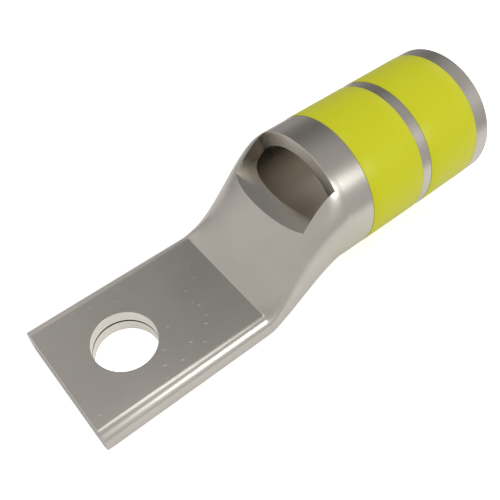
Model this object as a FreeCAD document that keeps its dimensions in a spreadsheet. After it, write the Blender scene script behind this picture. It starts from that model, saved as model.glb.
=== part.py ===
import FreeCAD, Part
import math
import os
from FreeCAD import Vector

# Copper terminal lug formed from one length of tube. Millimetres, +Z up.
# The origin is the centre of the bolt hole on the underside of the pad. +X runs along
# the barrel to the wire end, and both sides of the plane Y = 0 are the same.

doc = FreeCAD.newDocument("TerminalLug")
sheet = doc.addObject("Spreadsheet::Sheet", "Sizes")

sizes = {
    # Tube
    "wall": 2.42,
    "barrel_diameter": 23.34,
    "overall_length": 77.7,
    "mouth_bevel": 0.5,
    # Pad: the tube pressed flat, wall on wall
    "pad_width": 23.6,
    "pad_length": 30.0,
    "pad_side_round": 2.15,
    "seam_gap": 0.24,
    "hole_diameter": 10.4,
    "hole_to_end": 10.75,
    # Bend between the pad and the barrel
    "bend_length": 14.8,
    "barrel_lift": 1.62,
    "bend_waist": 0.36,
    # Inspection window: a notch, open above and towards the pad
    "window_width": 16.1,
    "window_floor": 16.32,
}

for row, (alias, number) in enumerate(sizes.items(), start=1):
    sheet.set(f"A{row}", alias)
    sheet.set(f"B{row}", str(number))
    sheet.setAlias(f"B{row}", alias)
doc.recompute()

wall = sheet.wall
barrelRadius = sheet.barrel_diameter / 2
boreRadius = barrelRadius - wall
padHalf = sheet.pad_width / 2
padThick = 2 * wall
padFlat = padHalf - sheet.pad_side_round
axisZ = sheet.barrel_lift + barrelRadius

# Places along the lug and up it, as formulas of the sheet
foldX = "Sizes.pad_length - Sizes.hole_to_end"
barrelX = f"{foldX} + Sizes.bend_length"
wireEndX = "Sizes.overall_length - Sizes.hole_to_end"
axisHeight = "Sizes.barrel_lift + Sizes.barrel_diameter / 2"

# The bend's skin runs on into the round barrel by this much, so that it meets it level
runOn = 1.2
# Cuts that open through a surface start outside it by this much
clear = 1.0

# Where the outlines of the bend and of its hollow stand, as shares of the bend's length
bendStations = (0.08, 0.18, 0.3, 0.42, 0.54, 0.66, 0.78, 0.9)
hollowStations = (0.0, 0.2, 0.4, 0.6, 0.8)

# How the bend opens. The top leaves the pad at this slope, as a share of the mean slope,
# the widest line follows it a little later, and the underside lifts early.
topStartSlope = 0.71
sideLag = 1.1
undersideLift = 4
# The top is square only close to the pad, and the underside eases from this power to a circle
crownEase = 6
squarePower = 4
roundPower = 2
# The hollow's roof rises nearly evenly
roofEase = 1.155
# Each edge of an outline goes through this many points on either side of its middle
edgePoints = 3

body = doc.addObject("PartDesign::Body", "Lug")
body.Label = "lug"


def originPlane(role):
    return next(item for item in body.Origin.OriginFeatures if item.Role == role)


def feature(kind, name, plane, place, **lengths):
    """A feature or a sketch on one of the body's planes, placed and sized by formulas."""
    item = body.newObject(kind, name)
    item.AttachmentSupport = (originPlane(plane), [""])
    item.MapMode = "FlatFace"
    for axis, formula in zip("xyz", place):
        item.setExpression(f"AttachmentOffset.Base.{axis}", formula)
    for key, formula in lengths.items():
        item.setExpression(key, formula)
    return item


def section(name, atX):
    """Sketch across the lug: its x is the lug's Y and its y is the lug's Z."""
    return feature("Sketcher::SketchObject", name, "YZ_Plane", ("0", "0", atX))


def rise(share, startSlope=0.0):
    """Share of the height gained along the bend: starts at a slope and ends level."""
    start = share - 2 * share**2 + share**3
    return startSlope * start + 3 * share**2 - 2 * share**3


def liftAt(share):
    """Height of the bend's underside: it lifts early and then runs level."""
    return sheet.barrel_lift * (1 - (1 - share) ** undersideLift)


def reachAt(offset, length, reach, power):
    """How far a rounded outline reaches out at an offset along its other half axis."""
    return reach * (1 - min(1.0, abs(offset) / length) ** power) ** (1 / power)


def drawOval(sketch, half, widest, top, bottom, topPower, bottomPower):
    """Closed outline of four smooth edges: the top, one side, the bottom, the other side.

    It is widest at the height given. A power of 2 rounds it as an ellipse and a larger
    one squares it. The edges meet where the pad's flat faces end, in proportion.
    """
    up = top - widest
    down = widest - bottom
    split = half * padFlat / padHalf
    steps = [step / edgePoints for step in range(-edgePoints, edgePoints + 1)]
    over = [Vector(split * s, widest + reachAt(split * s, half, up, topPower)) for s in steps]
    under = [Vector(split * s, widest - reachAt(split * s, half, down, bottomPower)) for s in steps]
    upSide = reachAt(split, half, up, topPower)
    downSide = reachAt(split, half, down, bottomPower)
    side = []
    for s in steps:
        if s < 0:
            side.append(Vector(reachAt(s * downSide, down, half, bottomPower), widest + s * downSide))
        else:
            side.append(Vector(reachAt(s * upSide, up, half, topPower), widest + s * upSide))
    otherSide = [Vector(-point.x, point.y) for point in side]
    for points in (over, side[::-1], under[::-1], otherSide):
        curve = Part.BSplineCurve()
        curve.interpolate(points)
        sketch.addGeometry(curve)


def drawRing(sketch, radius):
    """Circle about the barrel's axis, split where the outlines of the bend are."""
    circle = Part.Circle(Vector(0, axisZ), Vector(0, 0, 1), radius)
    right = math.pi / 2
    half = math.asin(padFlat / padHalf)
    middle = right
    for span in (half, right - half, half, right - half):
        sketch.addGeometry(Part.ArcOfCircle(circle, middle - span, middle + span))
        middle -= right


# Pad: a flat strip with rounded sides, drawn at the fold and run out to the free end
padOutline = section("PadOutline", foldX)
for side in (1, -1):
    corner = Vector(side * padFlat, wall + side * wall)
    opposite = Vector(-corner.x, corner.y)
    tip = Vector(side * padHalf, wall)
    middle = Vector(corner.x, wall)
    padOutline.addGeometry(Part.LineSegment(opposite, corner))
    padOutline.addGeometry(Part.ArcOfEllipse(Part.Ellipse(corner, tip, middle), 0, math.pi))

pad = body.newObject("PartDesign::Pad", "Pad")
pad.Profile = padOutline
pad.Reversed = True
pad.setExpression("Length", "Sizes.pad_length")

# Bend: the strip opens out into the round barrel. Its top is soon an even curve across,
# while its underside stays squarer, lifts early and then runs level.
bendOutlines = []
for number, share in enumerate(bendStations, start=1):
    narrowing = sheet.bend_waist * 4 * share * (1 - share)
    outline = section(f"BendOutline{number}", f"{foldX} + Sizes.bend_length * {share}")
    drawOval(
        outline,
        half=padHalf + (barrelRadius - padHalf) * share - narrowing,
        widest=wall + (axisZ - wall) * rise(share**sideLag),
        top=padThick + (axisZ + barrelRadius - padThick) * rise(share, startSlope=topStartSlope),
        bottom=liftAt(share),
        topPower=roundPower + (squarePower - roundPower) * (1 - share) ** crownEase,
        bottomPower=squarePower + (roundPower - squarePower) * share,
    )
    bendOutlines.append(outline)
for name, past in (("BendEnd", 0), ("BendRunOn", runOn)):
    outline = section(name, f"{barrelX} + {past}")
    drawRing(outline, barrelRadius)
    bendOutlines.append(outline)
doc.recompute()

bend = body.newObject("PartDesign::AdditiveLoft", "Bend")
bend.Profile = padOutline
bend.Sections = bendOutlines

# Barrel
feature(
    "PartDesign::AdditiveCylinder",
    "Barrel",
    "YZ_Plane",
    ("0", axisHeight, f"{barrelX} + {runOn}"),
    Radius="Sizes.barrel_diameter / 2",
    Height=f"{wireEndX} - ({barrelX}) - {runOn}",
)

# Bore, open at the wire end, with a bevel at its mouth that leads the strands in
feature(
    "PartDesign::SubtractiveCylinder",
    "Bore",
    "YZ_Plane",
    ("0", axisHeight, barrelX),
    Radius="Sizes.barrel_diameter / 2 - Sizes.wall",
    Height=f"{wireEndX} - ({barrelX}) + {clear}",
)
feature(
    "PartDesign::SubtractiveCone",
    "MouthBevel",
    "YZ_Plane",
    ("0", axisHeight, f"{wireEndX} - Sizes.mouth_bevel"),
    Radius1="Sizes.barrel_diameter / 2 - Sizes.wall",
    Radius2="Sizes.barrel_diameter / 2 - Sizes.wall + Sizes.mouth_bevel",
    Height="Sizes.mouth_bevel",
)

# Hollow of the bend: the bore flattens and closes down to the seam of the pad
hollowOutlines = []
for number, share in enumerate(hollowStations, start=1):
    roof = wall + sheet.seam_gap / 2
    floor = wall - sheet.seam_gap / 2 * (1 - share)
    top = roof + (axisZ + boreRadius - roof) * share**roofEase
    bottom = floor + liftAt(share)
    outline = section(f"HollowOutline{number}", f"{foldX} + Sizes.bend_length * {share}")
    drawOval(
        outline,
        half=padHalf - wall + (barrelRadius - padHalf) * share,
        widest=(top + bottom) / 2,
        top=top,
        bottom=bottom,
        topPower=roundPower,
        bottomPower=roundPower,
    )
    hollowOutlines.append(outline)
hollowEnd = section("HollowEnd", barrelX)
drawRing(hollowEnd, boreRadius)
hollowOutlines.append(hollowEnd)
doc.recompute()

hollow = body.newObject("PartDesign::SubtractiveLoft", "Hollow")
hollow.Profile = hollowOutlines[0]
hollow.Sections = hollowOutlines[1:]

# Seam: the hairline left between the two pressed walls, open at the free end
feature(
    "PartDesign::SubtractiveBox",
    "Seam",
    "XY_Plane",
    (
        f"-Sizes.hole_to_end - {clear}",
        "Sizes.wall - Sizes.pad_width / 2",
        "Sizes.wall - Sizes.seam_gap / 2",
    ),
    Length=f"Sizes.pad_length + 2 * {clear}",
    Width="Sizes.pad_width - 2 * Sizes.wall",
    Height="Sizes.seam_gap",
)

# Inspection window, cut square across the top of the bend
feature(
    "PartDesign::SubtractiveBox",
    "InspectionWindow",
    "XY_Plane",
    (foldX, "-Sizes.window_width / 2", "Sizes.window_floor"),
    Length="Sizes.bend_length",
    Width="Sizes.window_width",
    Height="Sizes.barrel_diameter",
)

# Bolt hole
feature(
    "PartDesign::SubtractiveCylinder",
    "BoltHole",
    "XY_Plane",
    ("0", "0", f"-{clear}"),
    Radius="Sizes.hole_diameter / 2",
    Height=f"Sizes.wall * 2 + 2 * {clear}",
)
doc.recompute()

failed = [item.Name for item in doc.Objects if {"Invalid", "Error"} & set(item.State)]
if failed:
    raise RuntimeError("not built: " + ", ".join(failed))
if body.Shape.isNull() or not body.Shape.isValid() or len(body.Shape.Solids) != 1:
    raise RuntimeError("the lug is not one valid solid")

os.makedirs("parts", exist_ok=True)
body.Shape.exportStep(f"parts/{body.Label}.step")
print(f"{body.Label}: {body.Shape.Volume:.1f} cubic mm, {len(body.Shape.Faces)} faces")
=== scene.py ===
import math

import bmesh
import bpy
from mathutils import Matrix, Vector


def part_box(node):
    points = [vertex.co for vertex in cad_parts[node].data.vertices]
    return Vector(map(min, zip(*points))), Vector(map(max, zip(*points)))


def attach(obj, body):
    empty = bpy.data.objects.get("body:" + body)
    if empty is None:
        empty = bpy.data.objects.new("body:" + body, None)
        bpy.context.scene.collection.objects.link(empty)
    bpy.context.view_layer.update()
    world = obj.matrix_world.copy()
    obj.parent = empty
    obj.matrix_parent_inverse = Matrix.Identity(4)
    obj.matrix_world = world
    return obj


# Looks of a tin plated copper terminal lug with two painted colour bands.
# Everything is in metres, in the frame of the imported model: the origin is the centre of
# the bolt hole on the underside of the pad, +X runs to the wire end and +Z is up.

mm = 0.001

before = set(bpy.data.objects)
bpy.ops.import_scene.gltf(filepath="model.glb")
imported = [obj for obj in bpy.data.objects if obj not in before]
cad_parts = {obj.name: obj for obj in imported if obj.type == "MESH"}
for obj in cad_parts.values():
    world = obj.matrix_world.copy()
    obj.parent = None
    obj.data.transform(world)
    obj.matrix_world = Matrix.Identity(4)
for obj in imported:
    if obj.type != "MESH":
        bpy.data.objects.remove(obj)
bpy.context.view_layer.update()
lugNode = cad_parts["lug"]
print("frame loaded: one body, one node")


# sRGB hex to the linear colour that the nodes take
def linear(code):
    parts = [int(code[i:i + 2], 16) / 255 for i in (1, 3, 5)]
    return [c / 12.92 if c <= 0.04045 else ((c + 0.055) / 1.055) ** 2.4 for c in parts] + [1.0]


# Adds a node, sets its properties and its inputs, and links other nodes' outputs to it
def addNode(tree, kind, links=None, **settings):
    node = tree.nodes.new("ShaderNode" + kind)
    for key, value in settings.items():
        setattr(node, key, value)
    for socket, value in (links or {}).items():
        if isinstance(value, bpy.types.NodeSocket):
            tree.links.new(value, node.inputs[socket])
        else:
            node.inputs[socket].default_value = value
    return node


def newMaterial(name):
    material = bpy.data.materials.new(name)
    material.use_nodes = True
    material.node_tree.nodes.clear()
    return material, material.node_tree


# Tin plate over copper, plated after the tube was drawn, pressed and cut: a satin warm grey
# metal with a soft even grain. It gives broad soft highlights with no mirror image, faint
# lines along the tube, a few light handling ticks on the pad, and a warmer, darker inside.
tin = {
    "colour": "#dad4cb",
    "cloudColour": "#d4cec5",
    "cloudMm": 7.0,          # faint clouds from the bath and from handling
    "cloudSpread": (0.35, 0.7),
    "roughness": 0.27,
    "roughnessSpread": 0.003,
    "grainMm": 0.35,         # plating grain is under 0.05 mm, drawn coarser so that it shows
    "grainHeightMm": 0.0004,
    "grainStrength": 0.5,
    "drawLineMm": 0.5,       # spacing of the lines that drawing the tube leaves
    "drawLineLengthMm": 14.0,
    "edgeRadiusMm": 0.12,    # broken edges, too small for the solid
    "edgeSamples": 16,
    # Painted shade: the metal along the hairline slot between the pressed walls is painted near-black
    "seamShadeColour": "#16120e",
    "seamLevelMm": 2.42,
    "seamReachMm": 0.19,     # up and down from that level, just past the gap itself
    "seamHalfWidthMm": 9.4,
    "seamEndMm": 19.25,      # the fold
    "tickColour": "#e6e1da",
    "tickLengthMm": 0.8,
    "tickWidthMm": 0.14,     # ticks are about 0.05 mm wide, drawn wider so that they show
    "tickSpacing": 10.0,     # in their own lengths and widths
    "tickFade": 0.6,         # the share of a tick that is at full strength
    "tickPatches": (0.56, 0.62),
    "tickTurn": 25,          # degrees off the lug's length
    "tickDepthMm": 0.01,
    "tickStrength": 0.5,
    "tickTopMm": 4.8,        # only on the pad's top, and short of the fold
    "tickEndMm": 18.5,
}


def makeTicks(tree, place):
    turn = addNode(tree, "VectorRotate", {
        "Vector": place, "Angle": math.radians(tin["tickTurn"])}, rotation_type="Z_AXIS")
    cells = [1 / (tin[size] * tin["tickSpacing"] * mm) for size in ("tickLengthMm", "tickWidthMm")]
    spread = addNode(tree, "VectorMath", {0: turn.outputs[0], 1: (*cells, 0.0)}, operation="MULTIPLY")
    spots = addNode(tree, "TexVoronoi", {
        "Vector": spread.outputs[0], "Scale": 1.0, "Randomness": 1.0}, voronoi_dimensions="2D")
    reach = 0.5 / tin["tickSpacing"]
    strokes = addNode(tree, "MapRange", {
        "Value": spots.outputs["Distance"], "From Min": reach, "From Max": reach * tin["tickFade"]})
    patches = addNode(tree, "TexNoise", {
        "Vector": place, "Scale": 1 / (tin["cloudMm"] * mm), "Detail": 0.0})
    fewest, most = tin["tickPatches"]
    here = addNode(tree, "MapRange", {
        "Value": patches.outputs[0], "From Min": fewest, "From Max": most})
    apart = addNode(tree, "SeparateXYZ", {0: place})
    onTop = addNode(tree, "Math", {
        0: apart.outputs[2], 1: tin["tickTopMm"] * mm}, operation="GREATER_THAN")
    onPad = addNode(tree, "Math", {
        0: apart.outputs[0], 1: tin["tickEndMm"] * mm}, operation="LESS_THAN")
    ticks = strokes.outputs[0]
    for part in (here, onTop, onPad):
        ticks = addNode(tree, "Math", {0: ticks, 1: part.outputs[0]}, operation="MULTIPLY").outputs[0]
    return ticks


# Mask for the painted shade along the seam slot between the pressed walls
def makeSeamShade(tree, place):
    apart = addNode(tree, "SeparateXYZ", {0: place})
    atLevel = addNode(tree, "Math", {
        0: apart.outputs[2], 1: tin["seamLevelMm"] * mm, 2: tin["seamReachMm"] * mm},
        operation="COMPARE")
    inWidth = addNode(tree, "Math", {
        0: apart.outputs[1], 1: 0.0, 2: tin["seamHalfWidthMm"] * mm}, operation="COMPARE")
    inPad = addNode(tree, "Math", {
        0: apart.outputs[0], 1: tin["seamEndMm"] * mm}, operation="LESS_THAN")
    across = addNode(tree, "Math", {0: atLevel.outputs[0], 1: inWidth.outputs[0]}, operation="MULTIPLY")
    seamShade = addNode(tree, "Math", {0: across.outputs[0], 1: inPad.outputs[0]}, operation="MULTIPLY")
    return seamShade.outputs[0]


def makeTin():
    material, tree = newMaterial("tinPlateOverCopper")
    place = addNode(tree, "TexCoord").outputs["Object"]
    grain = addNode(tree, "TexNoise", {
        "Vector": place, "Scale": 1 / (tin["grainMm"] * mm), "Detail": 3.0, "Roughness": 0.6})
    clouds = addNode(tree, "TexNoise", {
        "Vector": place, "Scale": 1 / (tin["cloudMm"] * mm), "Detail": 2.0, "Roughness": 0.5})
    along = 1 / (tin["drawLineLengthMm"] * mm)
    across = 1 / (tin["drawLineMm"] * mm)
    stretch = addNode(tree, "VectorMath", {0: place, 1: (along, across, across)}, operation="MULTIPLY")
    lines = addNode(tree, "TexNoise", {
        "Vector": stretch.outputs[0], "Scale": 1.0, "Detail": 2.0, "Roughness": 0.5})
    ticks = makeTicks(tree, place)

    clear, clouded = tin["cloudSpread"]
    cloudy = addNode(tree, "MapRange", {
        "Value": clouds.outputs[0], "From Min": clear, "From Max": clouded})
    plate = addNode(tree, "Mix", {
        "Factor": cloudy.outputs[0], 6: linear(tin["colour"]), 7: linear(tin["cloudColour"])},
        data_type="RGBA")
    marked = addNode(tree, "Mix", {
        "Factor": ticks, 6: plate.outputs[2], 7: linear(tin["tickColour"])}, data_type="RGBA")
    # Painted shade along the seam slot between the pressed walls, in near-black
    seamShade = makeSeamShade(tree, place)
    colour = addNode(tree, "Mix", {
        "Factor": seamShade, 6: marked.outputs[2], 7: linear(tin["seamShadeColour"])},
        data_type="RGBA")

    low = tin["roughness"] - tin["roughnessSpread"]
    high = tin["roughness"] + tin["roughnessSpread"]
    # The two noises add up to about 0.6 to 1.4
    mixed = addNode(tree, "Math", {0: lines.outputs[0], 1: clouds.outputs[0]}, operation="ADD")
    satin = addNode(tree, "MapRange", {
        "Value": mixed.outputs[0], "From Min": 0.6, "From Max": 1.4, "To Min": low, "To Max": high})
    soften = addNode(tree, "Bevel", {"Radius": tin["edgeRadiusMm"] * mm}, samples=tin["edgeSamples"])
    grained = addNode(tree, "Bump", {
        "Height": grain.outputs[0], "Normal": soften.outputs[0],
        "Strength": tin["grainStrength"], "Distance": tin["grainHeightMm"] * mm})
    bump = addNode(tree, "Bump", {
        "Height": ticks, "Normal": grained.outputs[0],
        "Strength": tin["tickStrength"], "Distance": tin["tickDepthMm"] * mm}, invert=True)
    shader = addNode(tree, "BsdfPrincipled", {
        "Base Color": colour.outputs[2], "Metallic": 1.0,
        "Roughness": satin.outputs[0], "Normal": bump.outputs[0]})
    addNode(tree, "OutputMaterial", {"Surface": shader.outputs[0]})
    return material


tinPlate = makeTin()
lugNode.data.materials.clear()
lugNode.data.materials.append(tinPlate)
for face in lugNode.data.polygons:
    face.material_index = 0
print("lug: tin plate set on the CAD node")

# Colour-code lacquer, printed round the barrel in one thin even coat. It gives a flat strong
# yellow green with a soft sheen, and a darker rim of painted shade along each edge.
band = {
    "colour": "#d0d012",
    "rippleColour": "#cccc10",
    # the rim colour is painted shade along both edges of the band
    "rimShadeColour": "#a3a226",
    "roughness": 0.36,
    "ior": 1.5,
    "specular": 0.3,
    "barrelRadiusMm": 11.67,
    "filmMm": 0.05,
    "lip": 0.4,              # the coat's height at its very edge, as a share
    "rimMm": 0.16,
    "peelMm": 0.9,           # ripples of the dried lacquer
    "peelHeightMm": 0.004,
    "peelStrength": 0.4,
    "segments": 256,
    "sharpTurn": 50,         # degrees from which an edge stays sharp
    "spansMm": {"bandNearPad": (39.93, 51.10), "bandNearWire": (53.01, 64.16)},
}


def makeBandPaint(name, start, end):
    material, tree = newMaterial(name)
    place = addNode(tree, "TexCoord").outputs["Object"]
    peel = addNode(tree, "TexNoise", {
        "Vector": place, "Scale": 1 / (band["peelMm"] * mm), "Detail": 2.0, "Roughness": 0.5})
    apart = addNode(tree, "SeparateXYZ", {0: place})
    fromMiddle = addNode(tree, "Math", {
        0: apart.outputs[0], 1: (start + end) / 2 * mm}, operation="SUBTRACT")
    reach = addNode(tree, "Math", {0: fromMiddle.outputs[0]}, operation="ABSOLUTE")
    half = (end - start) / 2
    # Painted shade: the lacquer darkens over the last rimMm at each edge of the band
    rimShade = addNode(tree, "MapRange", {
        "Value": reach.outputs[0], "From Min": (half - band["rimMm"]) * mm, "From Max": half * mm})
    coat = addNode(tree, "Mix", {
        "Factor": peel.outputs[0], 6: linear(band["colour"]), 7: linear(band["rippleColour"])},
        data_type="RGBA")
    colour = addNode(tree, "Mix", {
        "Factor": rimShade.outputs[0], 6: coat.outputs[2], 7: linear(band["rimShadeColour"])},
        data_type="RGBA")
    bump = addNode(tree, "Bump", {
        "Height": peel.outputs[0], "Strength": band["peelStrength"],
        "Distance": band["peelHeightMm"] * mm})
    shader = addNode(tree, "BsdfPrincipled", {
        "Base Color": colour.outputs[2], "Roughness": band["roughness"],
        "IOR": band["ior"], "Specular IOR Level": band["specular"],
        "Normal": bump.outputs[0]})
    addNode(tree, "OutputMaterial", {"Surface": shader.outputs[0]})
    return material


# A thin ring of paint round the barrel, with edges that run down to the metal
def makeBand(name, start, end, axisZ, radius):
    film = band["filmMm"] * mm
    lip = radius + film * band["lip"]
    profile = [
        (start * mm, radius - film),
        (start * mm, lip),
        (start * mm + film, radius + film),
        ((start * 3 + end) / 4 * mm, radius + film),
        ((start + end) / 2 * mm, radius + film),
        ((start + end * 3) / 4 * mm, radius + film),
        (end * mm - film, radius + film),
        (end * mm, lip),
        (end * mm, radius - film),
    ]
    mesh = bmesh.new()
    rows = []
    for step in range(band["segments"]):
        turn = 2 * math.pi * step / band["segments"]
        rows.append([
            mesh.verts.new((x, r * math.sin(turn), axisZ + r * math.cos(turn))) for x, r in profile])
    for step, row in enumerate(rows):
        following = rows[(step + 1) % len(rows)]
        for a in range(len(profile)):
            b = (a + 1) % len(profile)
            mesh.faces.new((row[a], row[b], following[b], following[a]))
    bmesh.ops.recalc_face_normals(mesh, faces=mesh.faces)
    data = bpy.data.meshes.new(name)
    mesh.to_mesh(data)
    mesh.free()
    data.shade_smooth()
    data.set_sharp_from_angle(angle=math.radians(band["sharpTurn"]))
    ring = bpy.data.objects.new(name, data)
    bpy.context.scene.collection.objects.link(ring)
    data.materials.append(makeBandPaint(name + "Lacquer", start, end))
    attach(ring, "root")


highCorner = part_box("lug")[1]
barrelRadius = band["barrelRadiusMm"] * mm
barrelAxisZ = highCorner.z - barrelRadius
for bandName, (bandStart, bandEnd) in band["spansMm"].items():
    makeBand(bandName, bandStart, bandEnd, barrelAxisZ, barrelRadius)
print("bands: two painted rings on the barrel")

# Studio: a white floor under a tunnel of grey scrim cloth, which only shiny surfaces see, so
# that the metal has something darker than the floor to show. The tunnel runs along the lug,
# from the floor on the far side over the top to the floor on the near side.
studio = {
    "floorColour": "#ececec",
    "floorGlow": 0.62,       # tops the lit floor up to white, shadows stay
    "floorMirrored": 0.068,  # share of that glow that the metal shows
    "floorSize": 8.0,
    "floorLevelMm": -0.02,   # just clear of the pad's underside
    # painted light: a pool on the floor under the bolt hole that lifts the shade seen through it
    "lightPoolMm": (4.8, 8.0),    # a brighter spot under the bolt hole: full within, gone beyond
    "lightPoolGlow": 0.45,
    "worldLight": 0.75,
    "lampAim": (0.022, -0.005, 0.016),
    # Place, width and height, and power: a hot softbox, the wide spill beside it, and a dim
    # strip overhead that draws the line along the pad's near edge
    "lamps": {
        "keySoftbox": ((0.085, -0.177, 0.154), (0.060, 0.057), 0.063),
        "keySpill": ((0.128, -0.177, 0.156), (0.084, 0.080), 0.030),
        "overheadStrip": ((0.050, 0.015, 0.265), (0.130, 0.054), 0.043),
    },
    # The cloth's distance from the lug's line: at the far floor, overhead and at the near floor
    "scrimFar": 0.047,
    "scrimRadius": 0.32,
    "scrimNear": 0.066,
    "scrimEnds": (-0.34, 0.50),
    "scrimLift": 0.001,
    "scrimCurveTurn": 35,    # degrees up from either floor over which it swings out
    "scrimStepTurn": 4,
    "scrimPlaces": 47,
    # Brightness of the cloth by degrees up from the far floor, on four stretches of its length
    "tones": {
        "ahead": [
            (0, 0.54), (20, 0.59), (40, 0.58), (60, 0.57), (80, 0.47), (120, 0.50), (150, 0.52),
            (165, 0.57), (180, 0.50)],
        "overPad": [
            (0, 0.19), (20, 0.68), (40, 0.59), (60, 0.30), (80, 0.31), (110, 0.50), (150, 0.79),
            (165, 0.68), (180, 0.36)],
        "overBarrel": [
            (0, 0.32), (20, 0.22), (40, 0.15), (60, 0.23), (80, 0.34), (110, 0.38), (135, 0.58),
            (165, 0.44), (180, 0.40)],
        "beyond": [(0, 0.60), (180, 0.60)],
    },
    "toPad": (-0.04, 0.02),
    "toBarrel": (0.03, 0.16),
    "toBeyond": (0.36, 0.46),
    "endTone": 0.56,
}


def addToStage(name, data):
    item = bpy.data.objects.new(name, data)
    bpy.context.scene.collection.objects.link(item)
    return item


# 1 for the rays that should meet a white background, 0 for those that only light, and a
# share of it for the ones that a shiny surface sends
def seenWhite(tree, mirrored):
    path = addNode(tree, "LightPath")
    shown = addNode(tree, "Math", {
        0: path.outputs["Is Camera Ray"], 1: path.outputs["Is Transmission Ray"]}, operation="MAXIMUM")
    reflected = addNode(tree, "Math", {
        0: path.outputs["Is Glossy Ray"], 1: mirrored}, operation="MULTIPLY")
    return addNode(tree, "Math", {
        0: shown.outputs[0], 1: reflected.outputs[0]}, operation="MAXIMUM").outputs[0]


def makeFloor():
    size = studio["floorSize"] / 2
    level = studio["floorLevelMm"] * mm
    data = bpy.data.meshes.new("floor")
    data.from_pydata(
        [(-size, -size, level), (size, -size, level), (size, size, level), (-size, size, level)],
        [], [(0, 1, 2, 3)])
    addToStage("floor", data)
    material, tree = newMaterial("whiteFloorBoard")
    lit = addNode(tree, "BsdfDiffuse", {"Color": linear(studio["floorColour"])})
    white = seenWhite(tree, studio["floorMirrored"])
    place = addNode(tree, "TexCoord").outputs["Object"]
    away = addNode(tree, "VectorMath", {0: place}, operation="LENGTH")
    lightPool = addNode(tree, "MapRange", {
        "Value": away.outputs["Value"], "From Min": studio["lightPoolMm"][0] * mm,
        "From Max": studio["lightPoolMm"][1] * mm, "To Min": studio["lightPoolGlow"], "To Max": 0.0})
    # Like the glow, the painted pool of light under the bolt hole is only shown to the camera and to
    # shiny surfaces
    lightPoolShown = addNode(tree, "Math", {
        0: lightPool.outputs[0], 1: seenWhite(tree, 1.0)}, operation="MULTIPLY")
    glow = addNode(tree, "Math", {
        0: white, 1: studio["floorGlow"], 2: lightPoolShown.outputs[0]}, operation="MULTIPLY_ADD")
    light = addNode(tree, "Emission", {"Strength": glow.outputs[0]})
    both = addNode(tree, "AddShader", {0: lit.outputs[0], 1: light.outputs[0]})
    addNode(tree, "OutputMaterial", {"Surface": both.outputs[0]})
    data.materials.append(material)


def makeWorld():
    world = bpy.data.worlds.new("studioWorld")
    world.use_nodes = True
    tree = world.node_tree
    tree.nodes.clear()
    strength = addNode(tree, "MapRange", {
        "Value": seenWhite(tree, 1.0), "To Min": studio["worldLight"], "To Max": 1.0})
    sky = addNode(tree, "Background", {"Strength": strength.outputs[0], "Color": (1, 1, 1, 1)})
    addNode(tree, "OutputWorld", {"Surface": sky.outputs[0]})
    bpy.context.scene.world = world


def smooth(value, start, end):
    share = min(1.0, max(0.0, (value - start) / (end - start)))
    return share * share * (3 - 2 * share)


def stopTone(stops, turn):
    for (turnA, toneA), (turnB, toneB) in zip(stops, stops[1:]):
        if turn <= turnB:
            return toneA + (toneB - toneA) * (turn - turnA) / (turnB - turnA)
    return stops[-1][1]


def scrimTone(turn, x):
    tone = stopTone(studio["tones"]["ahead"], turn)
    for stretch, change in (("overPad", "toPad"), ("overBarrel", "toBarrel"), ("beyond", "toBeyond")):
        following = stopTone(studio["tones"][stretch], turn)
        tone += (following - tone) * smooth(x, *studio[change])
    return tone


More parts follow.
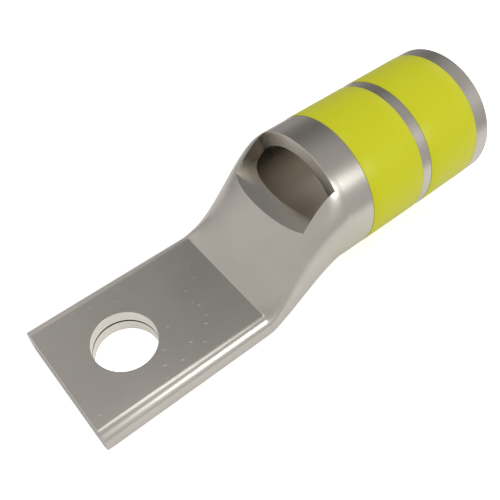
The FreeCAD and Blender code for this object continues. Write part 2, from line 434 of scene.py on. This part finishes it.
def makeScrim():
    turns = range(0, 181, studio["scrimStepTurn"])
    first, last = studio["scrimEnds"]
    steps = studio["scrimPlaces"] - 1
    places = [first + (last - first) * i / steps for i in range(steps + 1)]
    lift = studio["scrimLift"]
    points, faces, tones = [], [], []
    for turn in turns:
        a = math.radians(turn)
        foot = studio["scrimFar"] if turn < 90 else studio["scrimNear"]
        swing = smooth(min(turn, 180 - turn), 0, studio["scrimCurveTurn"])
        radius = foot + (studio["scrimRadius"] - foot) * swing
        # The cloth closes over the end ahead of the pad and stays open behind the barrel
        points += [(first, 0, lift), (first, radius * math.cos(a), lift + radius * math.sin(a))]
        tones += [studio["endTone"]] * 2
        for x in places:
            points.append((x, radius * math.cos(a), lift + radius * math.sin(a)))
            tones.append(scrimTone(turn, x))
    across = len(places) + 2
    for row in range(len(turns) - 1):
        for column in [0] + list(range(2, across - 1)):
            k = row * across + column
            faces.append((k, k + 1, k + across + 1, k + across))
    data = bpy.data.meshes.new("scrim")
    data.from_pydata(points, [], faces)
    data.attributes.new("tone", "FLOAT", "POINT").data.foreach_set("value", tones)
    scrim = addToStage("scrim", data)
    material, tree = newMaterial("greyScrimCloth")
    tone = addNode(tree, "Attribute", attribute_name="tone")
    light = addNode(tree, "Emission", {"Strength": tone.outputs["Fac"]})
    addNode(tree, "OutputMaterial", {"Surface": light.outputs[0]})
    data.materials.append(material)
    scrim.visible_camera = False
    scrim.visible_diffuse = False
    scrim.visible_shadow = False


def makeLamp(name, place, size, power):
    data = bpy.data.lights.new(name, "AREA")
    data.shape = "RECTANGLE"
    data.size, data.size_y = size
    data.energy = power
    lamp = bpy.data.objects.new(name, data)
    lamp.location = place
    towards = Vector(place) - Vector(studio["lampAim"])
    lamp.rotation_euler = towards.to_track_quat("Z", "Y").to_euler()
    bpy.context.scene.collection.objects.link(lamp)


makeFloor()
makeWorld()
makeScrim()
for lampName, (lampPlace, lampSize, lampPower) in studio["lamps"].items():
    makeLamp(lampName, lampPlace, lampSize, lampPower)
print("studio: floor, world, scrim and three lamps")

# The camera stands off the pad's near corner and looks down at the lug.
view = {
    "location": (-0.018868, -0.053396, 0.096401),
    "right": (0.775258, -0.631644, -0.000244),
    "up": (0.499834, 0.613243, 0.611637),
    "back": (-0.386187, -0.474298, 0.791139),
    "lensMm": 49.83,
    "sensorMm": 36.0,
    "clipStart": 0.005,
}


def makeCamera():
    data = bpy.data.cameras.new("photoCamera")
    data.lens = view["lensMm"]
    data.sensor_width = view["sensorMm"]
    data.clip_start = view["clipStart"]
    camera = bpy.data.objects.new("photoCamera", data)
    turn = Matrix((view["right"], view["up"], view["back"])).transposed().to_4x4()
    camera.matrix_world = Matrix.Translation(view["location"]) @ turn
    bpy.context.scene.collection.objects.link(camera)
    bpy.context.scene.camera = camera


makeCamera()
bpy.context.scene.view_settings.view_transform = "Standard"
print("camera: set at the photograph's angle")
